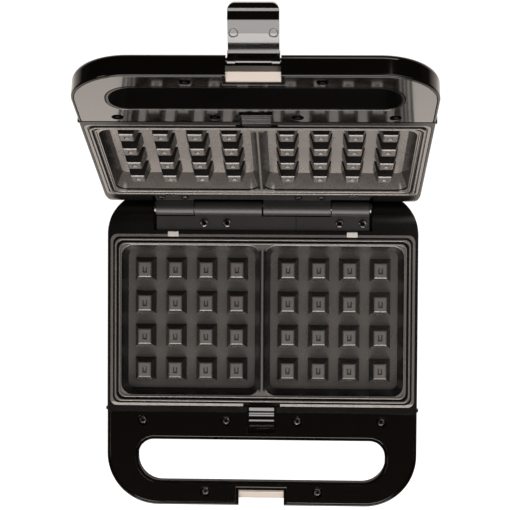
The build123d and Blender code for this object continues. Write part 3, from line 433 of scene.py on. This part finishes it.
SMOOTH_ANGLE = radians(32)
EDGE_SEGMENTS = 2
FACE_WEIGHT = 60
SAME_SPOT = 2e-6
FLAT_ANGLE = radians(0.6)
ON_LEVEL = 0.02  # two heights this close, in millimetres, are one level
LEVEL = 0.99  # upward slope of a face that lies flat
UPRIGHT = 0.05  # and of one that stands


def soften(piece, width, angle):
    """Finishing: rounded edges that catch the light, with the faces between them kept flat."""
    if width:
        edge = piece.modifiers.new("edges", "BEVEL")
        edge.width = width
        edge.segments = EDGE_SEGMENTS
        edge.limit_method = "ANGLE"
        edge.angle_limit = angle
        edge.use_clamp_overlap = True
        edge.harden_normals = False
    shade = piece.modifiers.new("shade", "WEIGHTED_NORMAL")
    shade.keep_sharp = True
    shade.weight = FACE_WEIGHT


def piece_from(bm, node, slot, width=None, finish=None, angle=SMOOTH_ANGLE):
    """Makes the finished piece of a CAD node from a bmesh in metres and in place.

    Its edges are rounded by the width.  A width of 0 only keeps faces flat, and no width adds nothing.
    """
    name = f"{node}_piece"
    mesh = bpy.data.meshes.new(name)
    bm.to_mesh(mesh)
    bm.free()
    # the CAD mesh's own normals don't fit the new edges
    if "custom_normal" in mesh.attributes:
        mesh.attributes.remove(mesh.attributes["custom_normal"])
    mesh.polygons.foreach_set("use_smooth", [True] * len(mesh.polygons))
    mesh.set_sharp_from_angle(angle=angle)
    for each in (finish or slot).split():
        mesh.materials.append(FINISHES[each])
    piece = bpy.data.objects.new(name, mesh)
    bpy.context.scene.collection.objects.link(piece)
    if width is not None:
        soften(piece, width, angle)
    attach(piece, body_of(node))
    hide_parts(node)


def rounded(bm, wanted, width, segments=3):
    """Rounds over the level edges that pass a test of their faces' upward slopes and their middle."""
    chosen = []
    for edge in bm.edges:
        first, second = (v.co for v in edge.verts)
        if len(edge.link_faces) == 2 and abs(first.z - second.z) < ON_LEVEL:
            slopes = sorted(face.normal.z for face in edge.link_faces)
            if wanted(*slopes, (first + second) / 2):
                chosen.append(edge)
    bmesh.ops.bevel(
        bm, geom=chosen, offset=width, offset_type="OFFSET", segments=segments, profile=0.5,
        affect="EDGES", clamp_overlap=True, material=-1
    )
    bm.normal_update()


def merged(node):
    """A copy of a CAD node with its triangles joined up into flat faces."""
    bm = bmesh.new()
    bm.from_mesh(frame["nodes"][node].data)
    bmesh.ops.remove_doubles(bm, verts=bm.verts, dist=SAME_SPOT)
    bmesh.ops.dissolve_limit(
        bm, angle_limit=FLAT_ANGLE, verts=bm.verts, edges=bm.edges, delimit={"NORMAL"}
    )
    return bm


def in_half(node, half):
    """A merged copy of a CAD node, in its half's own millimetres."""
    bm = merged(node)
    bm.transform(HALVES[half].inverted())
    bm.normal_update()
    return bm


# ------------------------------------------------------------------ copies with rounded edges
KEEPER_EDGE = 0.12 * MM
COPIES = {
    "inner_frame": ("satin_black", 0.25),
    "hinge_leaf_long": ("hinge_coat", 0.25),
    "hinge_leaf_short": ("hinge_coat", 0.25),
    "frame_screws": ("steel", 0.15),
    "heat_tray": ("aluminised", 0.15),
    "element_saddles": ("steel", 0.15),
}
for half in HALVES:
    for part, (slot, width) in COPIES.items():
        node = f"{half}_{part}"
        piece_from(merged(node), node, slot, width * MM)
    # each half's keeper has its own colour of painted light and shade
    node = f"{half}_keeper"
    piece_from(merged(node), node, "bright_steel", KEEPER_EDGE, f"{node}_steel")


# ------------------------------------------------------------------ handle covers
HANDLE_SCREWS = (
    (-90.5, -76.7), (-27.0, -76.7), (27.0, -76.7), (90.5, -76.7), (-42.6, -130.6), (42.6, -130.6)
)
WELL_LIP = {"base": 0.5, "lid": 1.2}
SLOT_BRINK = {"base": 0.35, "lid": 0.7}
WELL_REACH = 5.0
COVER_TOP = -0.3
COVER_EDGE = {"base": 0.08 * MM, "lid": 0.25 * MM}


def on_brink(low, high, at):
    """Whether an edge runs between the cover's top and an upright wall."""
    return abs(low) < UPRIGHT and high > LEVEL and abs(at.z - COVER_TOP) < ON_LEVEL


def by_well(at):
    """Whether a point lies at one of the handle's screw wells."""
    return any(abs(at.x - x) < WELL_REACH and abs(at.y - y) < WELL_REACH for x, y in HANDLE_SCREWS)


def cover(half):
    """Handle cover with rounded lips round its screw wells and at its outline."""
    node = f"{half}_handle_cover"
    bm = in_half(node, half)
    rounded(bm, lambda low, high, at: on_brink(low, high, at) and by_well(at), WELL_LIP[half], 4)
    rounded(bm, lambda low, high, at: on_brink(low, high, at) and not by_well(at), SLOT_BRINK[half])
    bm.transform(HALVES[half])
    piece_from(bm, node, "gloss_black", COVER_EDGE[half], "piano_black")


for half in HALVES:
    cover(half)


# ------------------------------------------------------------------ plate catches
CATCH_BEND = 67.0
CATCH_ROUND = 0.8
CATCH_EDGE = 0.04 * MM
# painted shade: the lid's catches take the dark blued finish, the base's the bright steel
CATCH_FINISH_WITH_PAINTED_SHADE = {"base": "catch_steel", "lid": "blued_steel"}


def at_bend(low, high, at):
    """Whether an edge lies at the bend of a catch."""
    return abs(low) < UPRIGHT and high > LEVEL and at.y > CATCH_BEND


def catches(half):
    """Plate catches, with the round of their bend at the rear, the lid's painted dark as shade."""
    node = f"{half}_plate_catches"
    bm = in_half(node, half)
    rounded(bm, at_bend, CATCH_ROUND, 4)
    bm.transform(HALVES[half])
    piece_from(bm, node, "bright_steel", CATCH_EDGE, CATCH_FINISH_WITH_PAINTED_SHADE[half])


for half in HALVES:
    catches(half)


# ------------------------------------------------------------------ release buttons
BUTTON_TOP = 0.3
BUTTON_EDGE = 0.1 * MM
RIB_HEIGHT = 0.6
RIB_HALF = (9.4, 0.6)
RIBS = ((-67.85, 0.36), (-70.2, 0.14), (-71.75, 0.18), (-75.65, 0.14), (-79.55, 0.11))
EXTRA_RIB = -70.2
EXTRA_HALF = 0.45
PAD_REAR = -65.95
NEAR_TOP = 0.1
SLACK = 0.01
CUT_SLACK = 1e-4


def cut(bm, place, way):
    """Cuts new edges into a mesh along a plane."""
    geom = bm.verts[:] + bm.edges[:] + bm.faces[:]
    bmesh.ops.bisect_plane(bm, geom=geom, dist=CUT_SLACK, plane_co=place, plane_no=way)


def on_extra_rib(face):
    """Whether a face is the strip of the button's top that the extra rib rises from."""
    x, y, z = face.calc_center_median()
    on_top = face.normal.z > LEVEL and abs(z - BUTTON_TOP) < SLACK
    return on_top and abs(y - EXTRA_RIB) < EXTRA_HALF and abs(x) < RIB_HALF[0]


def button(half):
    """Plate release button: a broad sloped lip at the plate, then ribs that lean to the front."""
    node = f"{half}_release_button"
    bm = in_half(node, half)
    for side in (-1, 1):
        cut(bm, (side * RIB_HALF[0], 0, 0), (1, 0, 0))
    for side in (-1, 1):
        cut(bm, (0, EXTRA_RIB + side * EXTRA_HALF, 0), (0, 1, 0))
    bm.normal_update()
    strip = [face for face in bm.faces if on_extra_rib(face)]
    made = bmesh.ops.extrude_face_region(bm, geom=strip)
    risen = [each for each in made["geom"] if isinstance(each, bmesh.types.BMVert)]
    bmesh.ops.translate(bm, verts=risen, vec=(0, 0, RIB_HEIGHT))
    bmesh.ops.delete(bm, geom=strip, context="FACES")
    for v in bm.verts:
        if v.co.z > BUTTON_TOP + NEAR_TOP:
            for y, drop in RIBS:
                if y - RIB_HALF[1] - SLACK < v.co.y < y:
                    v.co.z -= drop
        if abs(v.co.y - RIBS[0][0] - RIB_HALF[1]) < SLACK and v.co.z > BUTTON_TOP - NEAR_TOP:
            v.co.y = PAD_REAR
    bm.transform(HALVES[half])
    piece_from(bm, node, "satin_black", BUTTON_EDGE, "piano_black")


for half in HALVES:
    button(half)


# ------------------------------------------------------------------ single pieces
SINGLES = {
    "latch_pin": ("blued_steel", 0.1),
    "hinge_pins": ("blued_steel", 0.15),
    "thermostat": ("aluminised", 0.2),
    "thermal_fuse": ("steel", 0.15),
    "terminal_block": ("ceramic_white", 0.3),
    "feet": ("foot_rubber", 0.3),
    "cord_gland": ("satin_black", 0.3),
    "power_lamp_lens": ("lamp_red", 0.1),
    "ready_lamp_lens": ("lamp_green", 0.1),
    "lamp_holders": ("ceramic_white", 0.3),
}
for node, (slot, width) in SINGLES.items():
    piece_from(merged(node), node, slot, width * MM)


# ------------------------------------------------------------------ housings
SLOT_HALF = 95.2
SLOT_FRONT = -124.6
SLOT_REAR = -88.6
SLOT_LIP = -1.6
WALL_SLOPE = 0.5
HOUSING_EDGE = 0.4 * MM


def housing(half):
    """Outer shell, with the walls of its finger slot left dull."""
    node = f"{half}_shell"
    bm = merged(node)
    home = HALVES[half].inverted()
    for face in bm.faces:
        x, y, z = home @ face.calc_center_median()
        upright = abs((home.to_3x3() @ face.normal).normalized().z) < WALL_SLOPE
        if abs(x) < SLOT_HALF and SLOT_FRONT < y < SLOT_REAR and z < SLOT_LIP and upright:
            face.material_index = 1
    piece_from(bm, node, "gloss_black", HOUSING_EDGE, "gloss_black slot_lining")


for half in HALVES:
    housing(half)


# ------------------------------------------------------------------ waffle plates
PEG_TOP = -1.7
DIMPLE_HALF = 2.1
DIMPLE_STEPS = ((0.95, 0.95), (0.6, 0.06))
DIMPLE_TIP = 0.05
PLATE_HALF = (115.0, 65.0)
CROWN = 0.6
WELL_EDGE = 0.6
PEG_EDGE = 0.6
FLANGE_EDGE = 1.0
STEP_REACH = 5.5
STEP_WIDTH = 0.13
PEG_AREA = 200
PEG_SLACK = 0.05
RIDGE_FOOT = 0.3
RIDGE_STEEP = 0.3
DRAFT = (0.1, 0.5)


def on_step(place):
    """Whether a point is on the narrow step between the flange's outer groove and its ridge."""
    inset = min(PLATE_HALF[0] - abs(place.x), PLATE_HALF[1] - abs(place.y))
    return abs(place.z) < ON_LEVEL and inset < STEP_REACH


def peg_top(face):
    """Whether a face is the flat top of a peg."""
    on_top = face.normal.z > LEVEL and abs(face.calc_center_median().z - PEG_TOP) < PEG_SLACK
    return on_top and face.calc_area() < PEG_AREA


def ridge(low, high, at):
    """Edges of the ridge and the bead, above the flange."""
    return abs(low) < RIDGE_STEEP and high > LEVEL and at.z > RIDGE_FOOT


def well_mouth(low, high, at):
    """Edges where the drafted walls of the wells reach the flange."""
    return DRAFT[0] < low < DRAFT[1] and high > LEVEL and abs(at.z) < ON_LEVEL


def peg_rim(low, high, at):
    """Edges round the tops of the pegs."""
    return DRAFT[0] < low < DRAFT[1] and high > LEVEL and abs(at.z - PEG_TOP) < ON_LEVEL


def flange_rim(low, high, at):
    """Edges of the flange and of its grooves."""
    return abs(low) < UPRIGHT and high > LEVEL and abs(at.z) < ON_LEVEL


def grid_plate(half):
    """Waffle plate with a small four-sided dimple in the top of each peg."""
    node = f"{half}_waffle_plate"
    bm = in_half(node, half)
    tops = [face for face in bm.faces if peg_top(face)]
    for top in tops:
        reach = (top.calc_area() ** 0.5) / 2 - DIMPLE_HALF
        bmesh.ops.inset_individual(bm, faces=[top], thickness=reach, use_even_offset=True)
        for width, depth in DIMPLE_STEPS:
            bmesh.ops.inset_individual(bm, faces=[top], thickness=width, depth=-depth, use_even_offset=True)
        bmesh.ops.poke(bm, faces=[top], offset=-DIMPLE_TIP)
    step = [v for v in bm.verts if on_step(v.co)]
    bmesh.ops.remove_doubles(bm, verts=step, dist=STEP_WIDTH)
    bm.normal_update()
    rounded(bm, ridge, CROWN)
    rounded(bm, well_mouth, WELL_EDGE)
    rounded(bm, peg_rim, PEG_EDGE, 1)
    rounded(bm, flange_rim, FLANGE_EDGE)
    bm.transform(HALVES[half])
    piece_from(bm, node, "plate_coat", 0.0, f"{half}_plate_coat")


for half in HALVES:
    grid_plate(half)


# ------------------------------------------------------------------ latch
LATCH_EDGE = 0.3 * MM
LATCH_SHARP = radians(20)
LATCH_TURN = Matrix(((0, 0, 1), (0.92254, -0.38591, 0), (0.38591, 0.92254, 0))).to_4x4()
LATCH = Matrix.Translation((0, 0.141385, 0.24657)) @ LATCH_TURN @ SCALE
LATCH_INNER = -0.8
HOLLOW_END = 17.0
HOLLOW_FOOT = 3.8
HOLLOW_ROOT = 2.156
HOLLOW_DEPTH = 0.99
HOLLOW_CUTS = (17.0, 16.7, 15.5, 14.0, 12.5, 11.0, 9.5, 8.0, 6.5, 5.0, 3.8)
PIN_MARKS = ((16.9, -12.3), (16.9, 12.3))
MARK_RADIUS = 3.0
MARK_WIDTH = 0.7
MARK_HEIGHT = 0.16
MARK_SINK = 0.02
MARK_STEPS = 28


def ring(bm, radius, width, height, turn):
    """A low round moulding mark, standing on the plane z = 0 of its own frame."""
    section = [(radius - width, 0), (radius - width / 2, height), (radius, 0)]
    verts = [bm.verts.new((x, 0, z)) for x, z in section]
    edges = [bm.edges.new(pair) for pair in zip(verts, verts[1:])]
    bmesh.ops.spin(
        bm, geom=verts + edges, cent=(0, 0, 0), axis=(0, 0, 1), angle=2 * pi, steps=MARK_STEPS,
        use_merge=True
    )
    bmesh.ops.transform(bm, matrix=turn, verts=list({v for f in bm.faces if not f.tag for v in f.verts}))


def latch_plate():
    """Latch with its inner face hollowed towards the pivot and two ejector marks."""
    bm = merged("lid_latch")
    bm.transform(LATCH.inverted())
    for x in HOLLOW_CUTS:
        cut(bm, (x, 0, 0), (1, 0, 0))
    for v in bm.verts:
        if abs(v.co.y - LATCH_INNER) < SLACK and v.co.x < HOLLOW_END:
            away = max(v.co.x - HOLLOW_FOOT, 0) / (HOLLOW_END - HOLLOW_FOOT)
            rise = max(HOLLOW_FOOT - v.co.x, 0) / (HOLLOW_FOOT - HOLLOW_ROOT)
            v.co.y -= HOLLOW_DEPTH * (1 - away ** 2) * (1 - min(rise, 1))
    for face in bm.faces:
        face.tag = True
    for x, z in PIN_MARKS:
        turn = Matrix.Translation((x, LATCH_INNER - MARK_SINK, z)) @ Matrix.Rotation(-pi / 2, 4, "X")
        ring(bm, MARK_RADIUS, MARK_WIDTH, MARK_HEIGHT, turn)
        for face in bm.faces:
            face.tag = True
    bm.transform(LATCH)
    piece_from(bm, "lid_latch", "gloss_black", LATCH_EDGE, "piano_black", LATCH_SHARP)


latch_plate()


# ------------------------------------------------------------------ cross-head screws
LEAF_SCREWS = ((-44.3, 73.6), (-26.9, 73.6), (58.0, 73.6), (75.4, 73.6))
HEAD_RINGS = ((3.0, 0.0), (3.0, 0.7), (2.75, 1.15), (2.2, 1.45), (1.75, 1.5))
ARM_HALF = 0.42
ARM_LONG = 1.45
SHANK_RADIUS = 1.45
HEAD_TOP = 1.5
RECESS_FLOOR = 0.55
RECESS_TAPER = 0.62
POINTS = 24
SPACING = 15
TURN_STEPS = (17, 31)
SCREW_KINDS = {
    # places, seat, length
    "handle": (HANDLE_SCREWS, -3.9, 9.5),
    "hinge": (LEAF_SCREWS, -1.5, 6.5),
}


def cross_outline():
    """Outline of the driver recess, as many points as a head ring has and in step with them."""
    a, b = ARM_HALF, ARM_LONG
    arm = [(b, -a), (b, 0), (b, a), ((a + b) / 2, a), (a, a), (a, (a + b) / 2)]
    turns = [(1, 0), (0, 1), (-1, 0), (0, -1)]
    return [(c * x - s * y, s * x + c * y) for c, s in turns for x, y in arm]


def loop(bm, points, z):
    """A closed ring of edges through the points, on the level z."""
    verts = [bm.verts.new((x, y, z)) for x, y in points]
    return [bm.edges.new((verts[i - 1], verts[i])) for i in range(len(verts))]


def cross_screw(bm, place, seat, length):
    """Pan-head screw with a cross recess: head rings, recess and shank."""
    before = set(bm.verts)
    angles = [radians(SPACING * i - SPACING) for i in range(POINTS)]
    steps = [(cos(angle), sin(angle)) for angle in angles]
    shank = [(SHANK_RADIUS, -length), (SHANK_RADIUS, 0.0)]
    rings = [loop(bm, [(r * x, r * y) for x, y in steps], z) for r, z in shank + list(HEAD_RINGS)]
    rim = cross_outline()
    rings.append(loop(bm, rim, HEAD_TOP))
    rings.append(loop(bm, [(RECESS_TAPER * x, RECESS_TAPER * y) for x, y in rim], RECESS_FLOOR))
    for low, high in zip(rings, rings[1:]):
        bmesh.ops.bridge_loops(bm, edges=low + high)
    bmesh.ops.holes_fill(bm, edges=rings[0] + rings[-1], sides=POINTS)
    fresh = [v for v in bm.verts if v not in before]
    turn = Matrix.Rotation(radians(TURN_STEPS[0] * place[0] + TURN_STEPS[1] * place[1]), 4, "Z")
    bmesh.ops.transform(bm, matrix=Matrix.Translation((*place, seat)) @ turn, verts=fresh)


def screw_set(half, kind, places, seat, length):
    """All screws of one kind in a half, as one piece."""
    bm = bmesh.new()
    for place in places:
        cross_screw(bm, place, seat, length)
    bmesh.ops.recalc_face_normals(bm, faces=bm.faces)
    bm.transform(HALVES[half])
    piece_from(bm, f"{half}_{kind}_screws", "blued_steel")


for half in HALVES:
    for kind, (places, seat, length) in SCREW_KINDS.items():
        screw_set(half, kind, places, seat, length)


# ------------------------------------------------------------------ what is left of the CAD nodes
LEFT = {
    "base_release_spring": "steel",
    "lid_release_spring": "steel",
    "base_heating_element": "rod_sheath",
    "lid_heating_element": "rod_sheath",
}
for node, slot in LEFT.items():
    mesh = frame["nodes"][node].data
    mesh.materials.clear()
    mesh.materials.append(FINISHES[slot])


# ------------------------------------------------------------------ floor, world and lamps
FLOOR_HALF = 3.0
FLOOR_CLOTH = (0.30, 0.30, 0.30)
FLOOR_GLOW = 0.90
FLOOR_PLAIN = (0.62, 0.60, 0.58)
FLOOR_TINT = (1.0, 0.91, 0.83)
FLOOR_GLOSS = 1.4
GLOSS_NEAR = 0.30
GLOSS_FAR = 0.75
GLOSS_LEFT = 0.03
WHITE = (1.0, 1.0, 1.0)
WORLD_FILL = 0.22
FILL_COLOUR = (1.0, 0.97, 0.94)
WORLD_MIRROR = 0.012
MIRROR_COLOUR = (1.0, 0.9, 0.8)


def rays(p):
    """Masks of the rays that see the white ground, directly or through glass, and of mirrored rays."""
    seen = p.node("LightPath", output="Is Camera Ray")
    through = p.node("LightPath", output="Is Transmission Ray")
    mirrored = p.node("LightPath", output="Is Glossy Ray")
    return p.sum("MAXIMUM", seen, through), mirrored


def make_floor():
    """Pale floor: white to the camera, bright to anything glossy, and it keeps the shadow."""
    bm = bmesh.new()
    bmesh.ops.create_grid(bm, x_segments=1, y_segments=1, size=FLOOR_HALF)
    mesh = bpy.data.meshes.new("floor")
    bm.to_mesh(mesh)
    bm.free()
    material = bpy.data.materials.new("floor")
    material.use_nodes = True
    tree = material.node_tree
    tree.nodes.clear()
    p = Paint(tree)
    camera, mirrored = rays(p)
    here = p.node("TexCoord", output="Object")
    far = p.node("VectorMath", {"operation": "LENGTH"}, {0: here}, "Value")
    near = p.band(far, GLOSS_NEAR, GLOSS_FAR, 1.0, GLOSS_LEFT)
    cloth = p.node("BsdfDiffuse", None, {"Color": FLOOR_CLOTH})
    glow = p.node("Emission", None, {"Color": WHITE, "Strength": FLOOR_GLOW})
    shown = p.node("AddShader", None, {0: cloth, 1: glow})
    plain = p.node("BsdfDiffuse", None, {"Color": FLOOR_PLAIN})
    bright = p.node("Emission", None, {"Color": FLOOR_TINT, "Strength": near * FLOOR_GLOSS})
    first = p.node("MixShader", None, {0: mirrored, 1: plain, 2: bright})
    whole = p.node("MixShader", None, {0: camera, 1: first, 2: shown})
    p.node("OutputMaterial", None, {"Surface": whole})
    mesh.materials.append(material)
    floor = bpy.data.objects.new("floor", mesh)
    bpy.context.scene.collection.objects.link(floor)


def make_world():
    """White behind everything, a dark studio in mirrors, and soft even fill on the rest."""
    world = bpy.data.worlds.new("studio")
    world.use_nodes = True
    bpy.context.scene.world = world
    tree = world.node_tree
    tree.nodes.clear()
    p = Paint(tree)
    camera, mirrored = rays(p)
    fill = p.node("Background", None, {"Color": FILL_COLOUR, "Strength": WORLD_FILL})
    mirror = p.node("Background", None, {"Color": MIRROR_COLOUR, "Strength": WORLD_MIRROR})
    white = p.node("Background", None, {"Color": WHITE, "Strength": 1.0})
    first = p.node("MixShader", None, {0: mirrored, 1: fill, 2: mirror})
    whole = p.node("MixShader", None, {0: camera, 1: first, 2: white})
    p.node("OutputWorld", None, {"Surface": whole})


MIDDLE = (0, 0.06, 0.15)
LAMP_COLOUR = (1.0, 0.955, 0.92)
LAMPS = {
    # seen from, along, distance, width, height, brightness
    "latch_box": ((0, 0.16, 0.26), (-0.037, -0.623, 0.783), 1.4, 0.9, 0.24, 4.6),
    "front_box": ((0, 0.09, 0.14), (0, -0.9063, 0.4226), 1.38, 1.2, 1.10, 7.0),
    "top_box": (MIDDLE, (0.45, 0.35, 0.85), 1.3, 0.9, 0.6, 3.2),
    "left_box": (MIDDLE, (-0.75, -0.10, 0.65), 1.35, 0.7, 0.35, 3.6),
    "right_box": (MIDDLE, (0.75, -0.10, 0.65), 1.35, 0.7, 0.35, 1.2),
    "rear_box": (MIDDLE, (0.24, 0.93, 0.32), 1.4, 0.7, 0.34, 5.0),
}


def softbox(name, seen_from, way, distance, width, height, brightness):
    """A rectangular lamp of an even brightness, seen from a point along way."""
    data = bpy.data.lights.new(name, "AREA")
    data.shape = "RECTANGLE"
    data.size = width
    data.size_y = height
    data.energy = brightness * pi * width * height
    data.color = LAMP_COLOUR
    lamp = bpy.data.objects.new(name, data)
    way = Vector(way).normalized()
    turn = (-way).to_track_quat("-Z", "Y").to_matrix().to_4x4()
    lamp.matrix_world = Matrix.Translation(Vector(seen_from) + way * distance) @ turn
    lamp.visible_camera = False
    bpy.context.scene.collection.objects.link(lamp)


bpy.context.scene.view_settings.view_transform = "Standard"
aim_camera()
make_floor()
make_world()
for name, measures in LAMPS.items():
    softbox(name, *measures)
